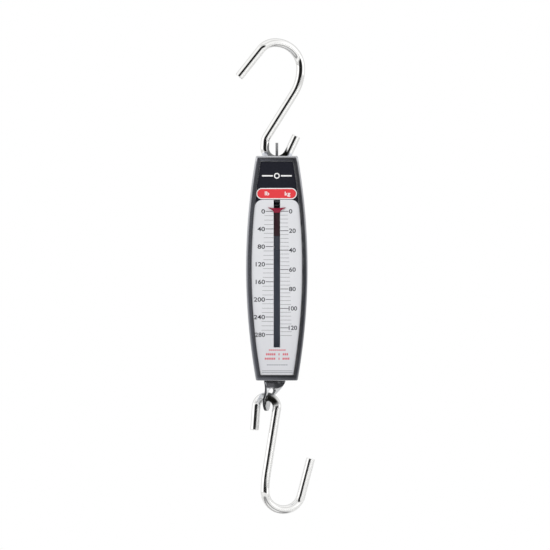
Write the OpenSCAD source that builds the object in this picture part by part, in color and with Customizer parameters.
// Hanging spring scale with two wire hooks, a bowed case and a straight dial.
// Units are millimetres, +Z is up and the dial faces -Y. The origin is the point
// inside the upper hook's crown where the hook bears on its rail, on the load line.

/* [Hooks] */
// Diameter of the wire that both hooks are bent from
wire_d = 8; // [6:0.5:8]
// How far the crown's highest point lies left of the load line
crown_shift = 1.6; // [0:0.2:2]
// Radius of the upper hook's crown, left half, at the wire's centre
crown_r_left = 17.2; // [15:0.5:20]
// Radius of the upper hook's crown, right half, at the wire's centre
crown_r_right = 23.8; // [21:0.5:26]
// Radius that leads from the crown into the slanting shank
shoulder_r = 44.8; // [40:1:50]
// Slant of the upper shank from vertical, in degrees
shank_slant = 32; // [28:0.5:34]
// Radius of the curl that passes through the hanger's eye, shank side
curl_r = 11.2; // [10.5:0.1:12]
// Radius of the same curl on its open side
curl_r_open = 12.1; // [11.5:0.1:15]
// Straight length of the upper hook's open end
upper_tip_len = 31.8; // [20:0.2:36]
// Straight length of the upper hook's short closing arm
upper_arm_len = 16.2; // [8:0.2:18]
// Radius of the lower hook's small curl
small_curl_r = 9.6; // [9:0.1:10]
// Straight length of the lower hook's small arm
small_arm_len = 21.6; // [12:0.5:26]
// Radius of the lower hook's load bend
load_r = 17; // [15:0.2:19]
// Straight length of the lower hook's open end
lower_tip_len = 35.3; // [20:1:38]

/* [Case] */
// Height of the case
case_len = 208.9; // [208:0.1:212]
// Width of the case at its middle
case_mid_w = 57.2; // [57:0.1:59]
// Radius of the case's bowed sides
case_bow_r = 596; // [580:1:640]
// Distance from the spring's axis to the front rim
case_front = 20.8; // [20.8:0.1:22]
// Distance from the spring's axis to the back
case_back = 17.5; // [17.5:0.1:19]
// Thickness of the case's side and back walls
wall = 2.2; // [2:0.1:2.4]
// Width of the rim around the dial
rim_w = 5; // [4.6:0.1:5.4]
// Depth of the dial below the front rim
dial_sink = 1.4; // [1.2:0.1:1.5]
// How far the upper hook's curl sinks below the case's top edge
curl_sink = 3.7; // [3:0.1:4]
// Depth of the open recess above the top cap
top_recess = 11.5; // [11:0.1:11.8]

/* [Dial] */
// Thickness of the dial plate
dial_t = 0.8; // [0.6:0.1:0.8]
// Width of the slot that the pointer runs in
slot_w = 6; // [5.8:0.1:6.6]
// Distance from the case's top edge to the slot's top
slot_top = 40.9; // [40:0.1:42]
// Length of the slot
slot_len = 137.2; // [134:0.1:138]
// Distance from the case's top edge to the zero mark
zero_drop = 51.1; // [50.5:0.1:52]

/* [Spring] */
// Diameter of the spring wire
spring_wire = 3.8; // [3.6:0.1:3.8]
// Mean diameter of the coils
spring_d = 25.6; // [25:0.1:25.6]
// Distance between neighbouring coils
spring_pitch = 3.88; // [3.86:0.01:3.95]

/* [Draw bar] */
// Width of the flat bar
bar_w = 20; // [18:0.5:20]
// Thickness of the flat bar
bar_t = 2.5; // [2:0.1:2.5]
// How far the bar is twisted below the case, in degrees
bar_twist = 75; // [70:1:80]
// Sideways place of the bar's straight length
bar_x = -2; // [-2.5:0.1:-1.5]
// Sideways offset of the lower eye from the case's centre line
eye_offset = 9.6; // [8:0.1:11]
// Distance from the case's bottom edge to the lower hook's wire
eye_drop = 14.9; // [14:0.1:16]
// Travel of the draw bar between its stops
travel = 116.5; // [115:0.5:116.5]

/* [Pointer] */
// Half of the pointer's width across the dial
pointer_half = 8.2; // [7:0.2:10]
// Width of the pointer's neck in the slot
neck_w = 5.2; // [4.6:0.1:5.4]

/* [Fasteners] */
// Diameter of the cross pins
pin_d = 4; // [3.5:0.1:4]
// Diameter of the case screws
screw_d = 3; // [2.6:0.1:3]

/* [Hidden] */
$fn = 64;

fit = 0.1;          // clearance between parts that sit in one another
close_fit = 0.03;   // clearance around pins, screws and rivets
over = 1;           // how far a cutting shape runs past a surface
through = 60;       // length of a bore that crosses a whole part

black = [0.13, 0.13, 0.15];
cap_black = [0.16, 0.16, 0.18];
hook_steel = [0.85, 0.85, 0.86];
pin_steel = [0.7, 0.7, 0.72];
plug_grey = [0.6, 0.6, 0.58];

// ---- wire paths in the XZ plane ----
// A state is [x, z, heading in degrees]. A step is [length] or [radius, angle];
// angles are positive anticlockwise as seen from the front.
wire_r = wire_d / 2;
joint_gap = 0.1;    // a run stops this far short of the next
ball_extra = 0.02;  // extra radius of the ball that bridges a joint
tip_chamfer = 0.7;

function straight(state, length) =
    [state[0] + length * cos(state[2]), state[1] + length * sin(state[2]), state[2]];
function bend(state, radius, angle) =
    let (turn = sign(angle), heading = state[2])
    [state[0] - turn * radius * sin(heading) + turn * radius * sin(heading + angle),
     state[1] + turn * radius * cos(heading) - turn * radius * cos(heading + angle),
     heading + angle];
function advance(state, step) =
    len(step) == 1 ? straight(state, step[0]) : bend(state, step[0], step[1]);
// state after the first n steps of a path
function walk(start, path, n) =
    n == 0 ? start : advance(walk(start, path, n - 1), path[n - 1]);

module joint_ball(state) {
    translate([state[0], 0, state[1]]) sphere(r = wire_r + ball_extra);
}

// a straight run; a hook's open end is cut square with a small chamfer
module wire_rod(length, is_tip) {
    end = length + tip_chamfer;
    stop = length - joint_gap;
    rotate_extrude() polygon(is_tip
        ? [[0, joint_gap], [wire_r, joint_gap], [wire_r, length], [wire_r - tip_chamfer, end], [0, end]]
        : [[0, joint_gap], [wire_r, joint_gap], [wire_r, stop], [0, stop]]);
}

// a bent run
module wire_bend(state, radius, angle) {
    turn = sign(angle);
    heading = state[2];
    trim = joint_gap / radius * 180 / PI;
    first_angle = turn > 0 ? heading - 90 : heading + 90 - abs(angle);
    translate([state[0] - turn * radius * sin(heading), 0, state[1] + turn * radius * cos(heading)])
        rotate([90, 0, 0]) rotate([0, 0, first_angle + trim])
            rotate_extrude(angle = abs(angle) - 2 * trim)
                translate([radius, 0]) circle(r = wire_r);
}

// The balls make every joint between runs a clean crossing of surfaces.
module wire(start, path) {
    for (i = [0 : len(path) - 1]) {
        state = walk(start, path, i);
        step = path[i];
        if (i > 0) joint_ball(state);
        if (len(step) == 1)
            translate([state[0], 0, state[1]]) rotate([0, 90 - state[2], 0])
                wire_rod(step[0], i == len(path) - 1);
        else
            wire_bend(state, step[0], step[1]);
    }
}

// a hook drawn both ways from a level point of its wire
module hook(x, z, left_path, right_path) {
    color(hook_steel) {
        joint_ball([x, z, 180]);
        wire([x, z, 180], left_path);
        wire([x, z, 0], right_path);
    }
}

// ---- upper hook, drawn from its crown ----
crown_turn_left = 51.5;
crown_turn_right = 89.1;
lead_r = 10.2;      // first bend from the shank into the curl
lead_turn = 29.1;
lead_len = 4.9;     // straight between that bend and the curl
curl_open_turn = 65;

// the inside of the wire crosses the load line at the origin
crown_z = crown_r_right - sqrt(pow(crown_r_right - wire_r, 2) - pow(crown_shift, 2));
crown_start = [-crown_shift, crown_z, 0];
upper_left = [[crown_r_left, crown_turn_left], [upper_tip_len]];
crown_bends = [
    [crown_r_right, -crown_turn_right],
    [shoulder_r, -(shank_slant + 90 - crown_turn_right)]];
curl_bends = [
    [lead_r, lead_turn],
    [lead_len],
    [curl_r, shank_slant + 90 - lead_turn]];
// the shank's length puts the curl's lowest point on the load line
shank_start = walk(crown_start, crown_bends, len(crown_bends));
curl_without_shank = walk(shank_start, curl_bends, len(curl_bends));
shank_len = -curl_without_shank[0] / cos(shank_start[2]);
to_curl_bottom = concat(crown_bends, [[shank_len]], curl_bends);
hinge_z = walk(crown_start, to_curl_bottom, len(to_curl_bottom))[1];
upper_right = concat(to_curl_bottom, [[curl_r_open, curl_open_turn], [upper_arm_len]]);

module upper_hook() {
    hook(-crown_shift, crown_z, upper_left, upper_right);
}

// ---- heights, all worked down from the upper hook's curl ----
case_top = hinge_z + curl_sink;
case_bot = case_top - case_len;
case_mid = (case_top + case_bot) / 2;
cap_t = 6;
cap_top = case_top - top_recess;
cap_bot = cap_top - cap_t;
bottom_cap_t = 5;
bottom_cap_top = case_bot + bottom_cap_t;
spring_top = cap_bot - 0.4;
flange_t = 4.5;     // flange of the lower spring plug
flange_gap = 0.2;   // between the last coil and the flange
stop_gap = 0.28;    // between the flange and the bottom cap at full travel
// the coils fill what the draw bar's travel leaves free
spring_turns = (spring_top - spring_wire - flange_gap - flange_t
    - (bottom_cap_top + travel + stop_gap)) / spring_pitch;
spring_bot = spring_top - spring_wire - spring_turns * spring_pitch;
flange_top = spring_bot - flange_gap;
flange_bot = flange_top - flange_t;
zero_z = case_top - zero_drop;
slot_bot = case_top - slot_top - slot_len;
eye_x = -eye_offset;
eye_z = case_bot - eye_drop;

// ---- depths: smaller Y is nearer the front ----
front_wall = 1.4;   // the front cover's wall behind the dial
dial_y = -case_front + dial_sink;
dial_back = dial_y + dial_t;
front_in = dial_back + front_wall;
tail_y = front_in + 0.35;
tail_t = 0.87;
strip_y = tail_y + tail_t + close_fit;
strip_t = 0.9;
strip_back = strip_y + strip_t;
back_in = case_back - wall;
cover_split = 0.05; // front edge of the back cover

// ---- lower hook, drawn from the point where its curl crosses the eye ----
lower_left = [[small_curl_r, 86], [small_arm_len]];
lower_right = [
    [small_curl_r, -99],
    [61.1],             // shank
    [107, 9],           // slight bow of the shank
    [load_r, 165.5],
    [lower_tip_len]];

module lower_hook() {
    hook(eye_x, eye_z, lower_left, lower_right);
}

// ---- shared shapes ----
// box centred on x and on the spring's axis in Y, standing on z
module block(width, depth, z, height, x = 0) {
    translate([x - width / 2, -depth / 2, z]) cube([width, depth, height]);
}
// cylinders along X and along Y, centred on the spring's axis at height z
module cross_x(z, radius, length) {
    translate([-length / 2, 0, z]) rotate([0, 90, 0]) cylinder(r = radius, h = length);
}
module cross_y(z, radius, length) {
    translate([0, length / 2, z]) rotate([90, 0, 0]) cylinder(r = radius, h = length);
}
// extrudes a shape drawn in X and Z from depth y0 to depth y1
module slab(y0, y1) {
    translate([0, y1, 0]) rotate([90, 0, 0]) linear_extrude(height = y1 - y0) children();
}
// side faces between stacked rings of points, for rings that run downward
function ring_walls(rings, corners) =
    [for (i = [0 : rings - 2]) for (j = [0 : corners - 1])
        let (k = (j + 1) % corners, here = i * corners, next = here + corners)
        each [[here + j, next + k, next + j], [here + j, here + k, next + k]]];

// ---- outline of the case ----
half_w = case_mid_w / 2;
side_over = 5;
// half of the case's width at height z
function half_at(z) = half_w - case_bow_r + sqrt(pow(case_bow_r, 2) - pow(z - case_mid, 2));

// disc whose edge is the case's right side (side = 1) or left side (side = -1)
module bow_disc(side, grow) {
    translate([side * (half_w - case_bow_r), case_mid]) circle(r = case_bow_r + grow, $fn = 200);
}
// the sides grown by one amount, the top and bottom by another
module bowed(grow, end_grow) {
    intersection() {
        bow_disc(1, grow);
        bow_disc(-1, grow);
        translate([-half_w - side_over, case_bot - end_grow])
            square([case_mid_w + 2 * side_over, case_len + 2 * end_grow]);
    }
}
module outline(grow = 0) {
    bowed(grow, grow);
}
// the same outline run out past the top and bottom
module channel(grow) {
    bowed(grow, side_over);
}

// ---- screws of the case ----
head_gap = 0.05;            // between a screw's head and its seat
post_r = 3.9;               // back cover's screw posts
boss_r = 3.4;               // front cover's screw bosses
web_w = 4.6;                // web from a post to the side wall
web_t = 2;
cover_sink = 4;             // depth of a cover screw's head recess
cover_screw_reach = 10;     // how far a cover screw runs in front of the axis
cover_screw_z = [case_mid + 56, case_mid, case_mid - 56];
function cover_screw_x(z) = half_at(z) - wall - post_r;

cap_sink = 1.2;
cap_screw_r = 1.2;
cap_screw_x = 12;
// middle of the top cap, and the bottom cap's lugs
cap_screw_z = [cap_top - cap_t / 2, case_bot + 4.7];

module at_cover_screws(y) {
    for (side = [-1, 1]) for (z = cover_screw_z)
        translate([side * cover_screw_x(z), y, z]) children();
}
module at_cap_screws(y) {
    for (side = [-1, 1]) for (z = cap_screw_z)
        translate([side * cap_screw_x, y, z]) children();
}
// stepped hole for a screw, cut forward from just behind the case
module screw_hole(hole_r, hole_len, head_r, sink) {
    rotate([90, 0, 0]) {
        cylinder(r = hole_r, h = hole_len);
        cylinder(r = head_r, h = sink + over);
    }
}
module cover_screw_hole() {
    screw_hole(hole_r = screw_d / 2 + 0.2, hole_len = 40, head_r = 3.1, sink = cover_sink);
}
// screw that points forward from its head's seat; cross is [width, bar, depth]
module cross_screw(head_r, head_t, shank_r, shank_len, cross) {
    difference() {
        union() {
            rotate([-90, 0, 0]) cylinder(r = head_r, h = head_t);
            rotate([90, 0, 0]) cylinder(r = shank_r, h = shank_len);
        }
        for (angle = [0, 90]) translate([0, head_t - cross[2], 0]) rotate([0, angle, 0])
            translate([-cross[0] / 2, 0, -cross[1] / 2]) cube([cross[0], 2, cross[1]]);
    }
}

// screws that join the two covers, entered from the back
module cover_screws() {
    seat_y = case_back - cover_sink + head_gap;
    color(pin_steel) at_cover_screws(seat_y)
        cross_screw(head_r = 2.8, head_t = 2.2, shank_r = screw_d / 2 - close_fit,
            shank_len = seat_y + cover_screw_reach, cross = [3.4, 0.7, 0.8]);
}

// screws that join the back cover to the end caps
module cap_screws() {
    color(pin_steel) at_cap_screws(case_back - cap_sink + head_gap)
        cross_screw(head_r = 2.2, head_t = 1, shank_r = cap_screw_r,
            shank_len = 4.2, cross = [2.6, 0.5, 0.6]);
}

// ---- covers ----
rib_t = 1.5;
rib_reach = 1.6;        // how far a rib stands in from the side wall
rib_root = 0.2;         // how far a rib sinks into the front or back wall
slot_side_room = 1.5;   // the cover's slot is wider than the dial's by this each side
slot_end_room = 2;
// steps that ease the outer edge: [depth from the face, inset from the side]
edge_steps = [[2.4, 0.5], [1.2, 1.1], [0.5, 2]];

// cuts the eased long edges of the face at depth y; inward is +1 or -1 along Y
module edge_cuts(y, inward) {
    for (side = [-1, 1]) for (step = edge_steps) {
        outer = y - inward * over;
        inner = y + inward * step[0];
        slab(min(outer, inner), max(outer, inner)) difference() {
            translate([side > 0 ? 0 : -60, case_bot - over]) square([60, case_len + 2 * over]);
            bow_disc(side, -step[1]);
        }
    }
}
// round post with a web to the side wall
module screw_post(side, z, radius, y0, y1, web_y1) {
    x = cover_screw_x(z);
    union() {
        translate([side * x, y1, z]) rotate([90, 0, 0]) cylinder(r = radius, h = y1 - y0);
        translate([side > 0 ? x : -x - web_w, y0, z - web_t / 2])
            cube([web_w, web_y1 - y0, web_t]);
    }
}
// ribs that hold the end caps, on the side walls between two depths
module cap_ribs(y0, y1) {
    for (z = [cap_top + fit, cap_bot - rib_t - fit, bottom_cap_top + fit]) {
        opening_half = half_at(z) - wall - rib_reach;
        difference() {
            slab(y0, y1) intersection() {
                channel(-wall + 0.3);
                translate([-40, z]) square([80, rib_t]);
            }
            translate([-opening_half, y0 - over, z - over])
                cube([2 * opening_half, y1 - y0 + 2 * over, 4]);
        }
    }
}

module front_cover() {
    color(black) {
        difference() {
            slab(-case_front, 0) outline();
            // the dial's recess
            slab(-case_front - over, dial_back) outline(-rim_w);
            // the inside, open at both ends
            slab(front_in, over) channel(-wall);
            // slot for the pointer
            translate([-slot_w / 2 - slot_side_room, -case_front, slot_bot - slot_end_room])
                cube([slot_w + 2 * slot_side_room, case_front, slot_len + 2 * slot_end_room]);
            edge_cuts(-case_front, 1);
        }
        // screw bosses, joined to the side walls
        for (side = [-1, 1]) for (z = cover_screw_z) difference() {
            screw_post(side, z, boss_r, y0 = front_in - 0.5, y1 = 0, web_y1 = 0);
            translate([side * cover_screw_x(z), over, z]) rotate([90, 0, 0])
                cylinder(r = screw_d / 2, h = 13);
        }
        cap_ribs(front_in - rib_root, 0);
    }
}

module back_cover() {
    color(black) {
        difference() {
            slab(cover_split, case_back) outline();
            slab(-over, back_in) channel(-wall);
            edge_cuts(case_back, -1);
            at_cover_screws(case_back + over) cover_screw_hole();
            at_cap_screws(case_back + over)
                screw_hole(hole_r = 1.45, hole_len = 10, head_r = 2.4, sink = cap_sink);
        }
        // screw posts, joined to the side walls
        for (side = [-1, 1]) for (z = cover_screw_z) difference() {
            screw_post(side, z, post_r, y0 = cover_split, y1 = case_back - 1,
                web_y1 = case_back - 1 + cover_split);
            translate([side * cover_screw_x(z), case_back + over, z]) cover_screw_hole();
        }
        cap_ribs(cover_split, back_in + rib_root);
    }
}

module dial_plate() {
    color([0.85, 0.86, 0.87]) difference() {
        slab(dial_y, dial_back) outline(-rim_w - 0.15);
        translate([-slot_w / 2, -case_front, slot_bot]) cube([slot_w, case_front, slot_len]);
    }
}

// ---- end caps and the bar's guide ----
pin_hole_r = pin_d / 2 + close_fit;
lug_w = 4.8;
guide_w = bar_w + 3.4;              // the guide's sleeve
guide_d = bar_t + 4.4;
guide_flange_w = guide_w + 2.4;
guide_flange_d = guide_d + 4;
guide_seat = 1.6;                   // depth of the flange's seat in the bottom cap
guide_inset = 0.2;                  // how far the guide stays inside the cap's faces

// a cap between the covers
module cap_body(z, height) {
    intersection() {
        slab(front_in + fit, back_in - fit) channel(-wall - 0.15);
        translate([-40, -40, z]) cube([80, 80, height]);
    }
}
// screw holes that run in from the back
module cap_bores(z) {
    for (side = [-1, 1]) translate([side * cap_screw_x, back_in + over, z]) rotate([90, 0, 0])
        cylinder(r = cap_screw_r + close_fit, h = 4.4);
}

module top_cap() {
    color(cap_black) difference() {
        cap_body(cap_bot, cap_t);
        block(bar_t + 0.4, bar_w + 0.6, cap_bot - over, cap_t + 2 * over);
        cross_x(cap_top - cap_t / 2, pin_hole_r, through);
        cap_bores(cap_screw_z[0]);
    }
}

module bottom_cap() {
    color(cap_black) difference() {
        union() {
            cap_body(case_bot, bottom_cap_t);
            // lugs against the back wall that take the screws
            for (side = [-1, 1])
                translate([side * cap_screw_x - lug_w / 2, back_in - 3.9, case_bot + 1])
                    cube([lug_w, 3.8, 7.2]);
        }
        block(guide_w + 2 * fit, guide_d + 2 * fit, case_bot - over,
            bottom_cap_t + 2 * over, bar_x);
        block(guide_flange_w + 2 * fit, guide_flange_d + 2 * fit,
            bottom_cap_top - guide_seat, 2, bar_x);
        cap_bores(cap_screw_z[1]);
    }
}

// plain sleeve that the bar slides through, flanged above
module bar_guide() {
    color([0.9, 0.9, 0.86]) difference() {
        union() {
            block(guide_w, guide_d, case_bot + guide_inset,
                bottom_cap_t - 2 * guide_inset, bar_x);
            block(guide_flange_w, guide_flange_d, bottom_cap_top - guide_seat + fit,
                guide_seat - fit - guide_inset, bar_x);
        }
        block(bar_w + 0.5, bar_t + 0.4, case_bot - over, bottom_cap_t + 2 * over, bar_x);
    }
}

// ---- hanger ----
hole_r = 6;             // eyes that the hooks pass through
eye_gap = 0.3;          // between a hook's wire and the edge of its eye
tongue_w = 14;          // tongues that enter the spring plugs
plug_len = 10;
plug_pin_in = plug_len / 2;     // from a plug's inner rim to its pin

// eye plate that the upper hook passes through
module hanger_plate() {
    hole_z = hinge_z + wire_r + eye_gap - hole_r;
    round_z = hinge_z + 15.9 - bar_w / 2;
    tongue_len = 9.2;
    shoulder_z = cap_bot - 0.1;
    color([0.45, 0.46, 0.47]) difference() {
        union() {
            block(bar_t, bar_w, shoulder_z, round_z - shoulder_z);
            cross_x(round_z, bar_w / 2, bar_t);
            block(bar_t, tongue_w, spring_top - tongue_len, cap_bot - spring_top + tongue_len);
        }
        cross_x(hole_z, hole_r, 10);
        cross_x(cap_top - cap_t / 2, pin_hole_r, 10);
        cross_x(spring_top - plug_pin_in, pin_hole_r, 10);
    }
}

// pin that carries the case on the hanger
module hanger_pin() {
    color(pin_steel)
        cross_x(cap_top - cap_t / 2, pin_d / 2, 2 * (half_at(cap_top) - wall) - 2);
}

// ---- spring ----
coil_z = spring_top - spring_wire / 2;
coil_seg = 20;          // segments in one turn
coil_sides = 6;         // sides of the wire's section

module main_spring() {
    n = floor(spring_turns * coil_seg);
    points = [for (i = [0 : n]) for (j = [0 : coil_sides - 1])
        let (turn = i * 360 / coil_seg,
             around = (j + 0.5) * 360 / coil_sides,
             radius = spring_d / 2 + spring_wire / 2 * cos(around))
        [radius * cos(turn), radius * sin(turn),
         coil_z - i * spring_pitch / coil_seg + spring_wire / 2 * sin(around)]];
    first = [for (j = [0 : coil_sides - 1]) coil_sides - 1 - j];
    last = [for (j = [0 : coil_sides - 1]) n * coil_sides + j];
    color([0.35, 0.36, 0.38]) polyhedron(points = points,
        faces = concat(ring_walls(n + 1, coil_sides), [first, last]));
}

// ---- grooved plugs screwed into the spring's ends ----
groove_r = spring_wire / 2 + 0.14;
crest_r = spring_d / 2 - 1.2;
plug_rows = 18;
tongue_slot_w = tongue_w + 0.4;
tongue_slot_t = bar_t + 2 * fit;
tongue_slot_len = 9.4;
plug_pin_len = 20.4;
plug_pin_z = flange_top + plug_pin_in;
pad_w = 14;             // pad on the lower plug's flange, behind the strip

// radius of a plug at an angle and height, where a groove follows the coil
function plug_r(angle, z) =
    let (turns = (coil_z - z) / spring_pitch - angle / 360,
         off = (turns - round(turns)) * spring_pitch)
    abs(off) < groove_r
        ? min(crest_r, spring_d / 2 - sqrt(pow(groove_r, 2) - off * off))
        : crest_r;

module plug_body(z0, z1) {
    points = concat(
        [for (k = [0 : plug_rows]) for (j = [0 : coil_seg - 1])
            let (angle = j * 360 / coil_seg,
                 z = z0 + (z1 - z0) * k / plug_rows,
                 radius = plug_r(angle, z))
            [radius * cos(angle), radius * sin(angle), z]],
        [[0, 0, z0], [0, 0, z1]]);
    bottom_centre = (plug_rows + 1) * coil_seg;
    top_row = plug_rows * coil_seg;
    // the rings run upward here, so each face is turned over
    sides = [for (face = ring_walls(plug_rows + 1, coil_seg)) [face[0], face[2], face[1]]];
    ends = [for (j = [0 : coil_seg - 1]) let (k = (j + 1) % coil_seg)
        each [[bottom_centre, j, k], [bottom_centre + 1, top_row + k, top_row + j]]];
    polyhedron(points = points, faces = concat(sides, ends));
}

module upper_spring_plug() {
    color(plug_grey) difference() {
        plug_body(spring_top - plug_len, spring_top);
        block(tongue_slot_t, tongue_slot_w, spring_top - tongue_slot_len, 20);
        cross_x(spring_top - plug_pin_in, pin_hole_r, through);
    }
}
module upper_plug_pin() {
    color(pin_steel) cross_x(spring_top - plug_pin_in, pin_d / 2, plug_pin_len);
}

module lower_spring_plug() {
    color(plug_grey) difference() {
        union() {
            plug_body(flange_top - 1, flange_top + plug_len);
            translate([0, 0, flange_bot]) cylinder(r = 14.4, h = flange_t);
            translate([-pad_w / 2, strip_back + 0.05, flange_bot]) cube([pad_w, 8, flange_t]);
        }
        // slots for the bar's tongue and for its full width
        block(tongue_slot_w, tongue_slot_t, flange_bot - over,
            tongue_slot_len + flange_t + over);
        block(bar_w + 2 * fit, tongue_slot_t, flange_bot - over, flange_t + over + fit, bar_x);
        cross_y(plug_pin_z, pin_hole_r, through);
        at_carrier_screws(strip_y - over) cylinder(r = carrier_screw_r + close_fit, h = 9.5);
    }
}
module lower_plug_pin() {
    color(pin_steel) cross_y(plug_pin_z, pin_d / 2, plug_pin_len);
}

// ---- draw bar ----
twist_top = case_bot - 0.4;
twist_bot = eye_z - 2.2;
twist_steps = 20;
bar_end_z = eye_z - 13.3;

// turn and sideways place at a share of the twist's length: the turn comes first
function bar_turn(share) = bar_twist * pow(share, 0.55);
function bar_side(share) = bar_x + (eye_x - bar_x) * pow(share, 1.8);
// the four corners of one cross-section of the bar
function bar_row(z, half, turn, x) =
    [for (corner = [[-1, -1], [1, -1], [1, 1], [-1, 1]])
        let (across = corner[0] * half, deep = corner[1] * bar_t / 2)
        [x + across * cos(turn) - deep * sin(turn), across * sin(turn) + deep * cos(turn), z]];

module bar_body() {
    half = bar_w / 2;
    round_z = bar_end_z + half;
    rows = concat(
        // tongue, and shoulder where the full width starts
        [bar_row(flange_top + 8.9, tongue_w / 2, 0, 0),
         bar_row(flange_top - 0.2, tongue_w / 2, 0, 0),
         bar_row(flange_top - 1.4, half, 0, bar_x)],
        // twist
        [for (i = [0 : twist_steps]) let (share = i / twist_steps)
            bar_row(twist_top + (twist_bot - twist_top) * share, half,
                bar_turn(share), bar_side(share))],
        // rounded end around the eye
        [for (angle = [0 : 12 : 84])
            bar_row(round_z - half * sin(angle), half * cos(angle), bar_twist, eye_x)]);
    last = 4 * (len(rows) - 1);
    polyhedron(points = [for (row = rows) each row],
        faces = concat(ring_walls(len(rows), 4), [[3, 2, 1, 0], [for (j = [0 : 3]) last + j]]));
}

module draw_bar() {
    hole_z = eye_z - wire_r - eye_gap + hole_r;
    color([0.75, 0.76, 0.78]) difference() {
        bar_body();
        translate([eye_x, 0, hole_z]) rotate([0, 0, bar_twist]) cross_y(0, hole_r, 16);
        cross_y(plug_pin_z, pin_hole_r, 10);
    }
}

// ---- pointer and the strip that carries it ----
strip_w = 12;
strip_top = zero_z + 3;
carrier_screw_x = 4;
carrier_screw_r = 1;
carrier_head_t = 0.72;
rivet_z = [zero_z - 7, zero_z - 18];
rivet_len = strip_back - tail_y;
rivet_r = 0.8;
rivet_sink = 0.43;      // depth of a rivet's countersink
wing_back = dial_y - 0.25;
wing_t = 0.9;
tail_w = 9;
// outline of the wings: [x, height above the zero mark]
wing_points = [
    [-pointer_half, 2.9], [-4, 3.3], [4, 3.3], [pointer_half, 2.9],
    [4.2, 0.6], [2.6, -2.4], [-2.6, -2.4], [-4.2, 0.6]];

// these two place shapes so that their own Z axis points to the back
module at_carrier_screws(y) {
    for (side = [-1, 1])
        translate([side * carrier_screw_x, y, flange_bot + flange_t / 2])
            rotate([-90, 0, 0]) children();
}
module at_rivets() {
    for (z = rivet_z) translate([0, tail_y, z]) rotate([-90, 0, 0]) children();
}

// holes through tail and strip, countersunk on both outer faces
module rivet_holes() {
    bore_r = rivet_r + close_fit;
    rim_r = 1.36;
    at_rivets() {
        translate([0, 0, -over]) cylinder(r = bore_r, h = 5);
        translate([0, 0, -0.01]) cylinder(r1 = rim_r, r2 = bore_r, h = rivet_sink + 0.01);
        translate([0, 0, rivet_len - rivet_sink])
            cylinder(r1 = bore_r, r2 = rim_r, h = rivet_sink + 0.01);
    }
}

// strip in front of the spring
module pointer_carrier() {
    color([0.3, 0.31, 0.33]) difference() {
        translate([-strip_w / 2, strip_y, flange_bot])
            cube([strip_w, strip_t, strip_top - flange_bot]);
        at_carrier_screws(strip_y - over) cylinder(r = carrier_screw_r + close_fit, h = 5);
        at_carrier_screws(strip_y - 0.01) cylinder(r1 = 1.95, r2 = 1.05, h = 0.8);
        rivet_holes();
    }
}

// countersunk screws that hold the strip to the lower plug
module carrier_screws() {
    color(pin_steel) at_carrier_screws(strip_y + 0.05) {
        cylinder(r1 = 1.85, r2 = carrier_screw_r, h = carrier_head_t);
        translate([0, 0, carrier_head_t]) cylinder(r = carrier_screw_r, h = 6);
    }
}

module pointer_rivets() {
    head_r = 1.28;
    back_z = rivet_len - close_fit;
    color(pin_steel) at_rivets() rotate_extrude() polygon([
        [0, close_fit], [head_r, close_fit], [rivet_r, rivet_sink],
        [rivet_r, rivet_len - rivet_sink], [head_r, back_z], [0, back_z]]);
}

module pointer() {
    neck_y = wing_back - 0.2;
    color([0.75, 0.08, 0.14]) difference() {
        union() {
            // wings in front of the dial
            slab(wing_back - wing_t, wing_back)
                polygon([for (point = wing_points) [point[0], zero_z + point[1]]]);
            // neck through the slot
            translate([-neck_w / 2, neck_y, zero_z - 2.2])
                cube([neck_w, tail_y + tail_t - neck_y, 5.2]);
            // tail behind the case's front wall
            slab(tail_y, tail_y + tail_t)
                translate([-tail_w / 2, zero_z - 23.3]) square([tail_w, 26.6]);
        }
        rivet_holes();
    }
}

upper_hook();
hanger_plate();
hanger_pin();
top_cap();
bottom_cap();
bar_guide();
front_cover();
back_cover();
cover_screws();
cap_screws();
dial_plate();
main_spring();
upper_spring_plug();
upper_plug_pin();
lower_spring_plug();
lower_plug_pin();
draw_bar();
pointer_carrier();
carrier_screws();
pointer();
pointer_rivets();
lower_hook();
